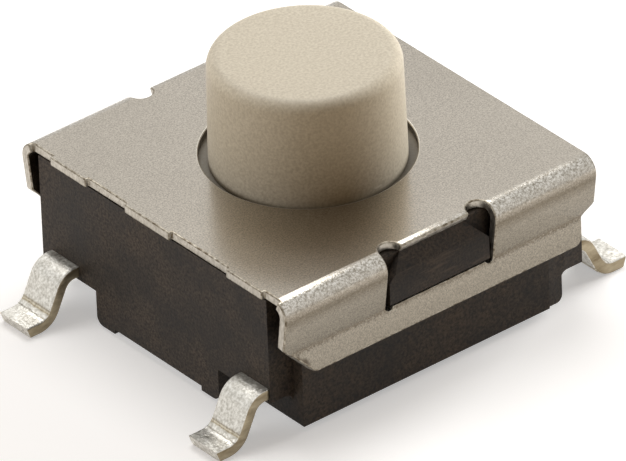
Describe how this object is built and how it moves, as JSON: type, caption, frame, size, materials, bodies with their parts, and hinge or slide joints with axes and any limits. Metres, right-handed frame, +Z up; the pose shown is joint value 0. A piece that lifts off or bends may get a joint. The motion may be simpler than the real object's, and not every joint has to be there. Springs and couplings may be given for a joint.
{
  "type": "tactile push button switch",
  "caption": "Surface-mount tactile push button switch with a round plunger, a folded steel cover, a moulded housing and gull-wing terminals.",
  "frame": {"origin": "on the board under the plunger's axis, at the height of the terminals' feet", "axes": "+Z up from the board along the plunger, X from one row of terminals to the other, Y from one folded skirt to the other"},
  "size_m": [0.008, 0.0062, 0.0043],
  "materials": {
    "housing": "moulded black",
    "terminal": "bright tin plating",
    "dome": "rolled",
    "plunger": "moulded cream",
    "cover": "satin rolled sheet"
  },
  "bodies": {
    "switch": {"housing": "housing", "centre_contact_frame": "terminal", "rim_contact_frame": "terminal", "snap_dome": "dome", "cover": "cover"},
    "button": {"plunger": "plunger"}
  },
  "joints": [
    {"name": "press", "type": "slide", "parent": "switch", "child": "button", "axis": [0, 0, -1], "range_m": [0, 0.00025], "stiffness_N_per_m": 6400, "deforming": ["snap_dome"]}
  ]
}
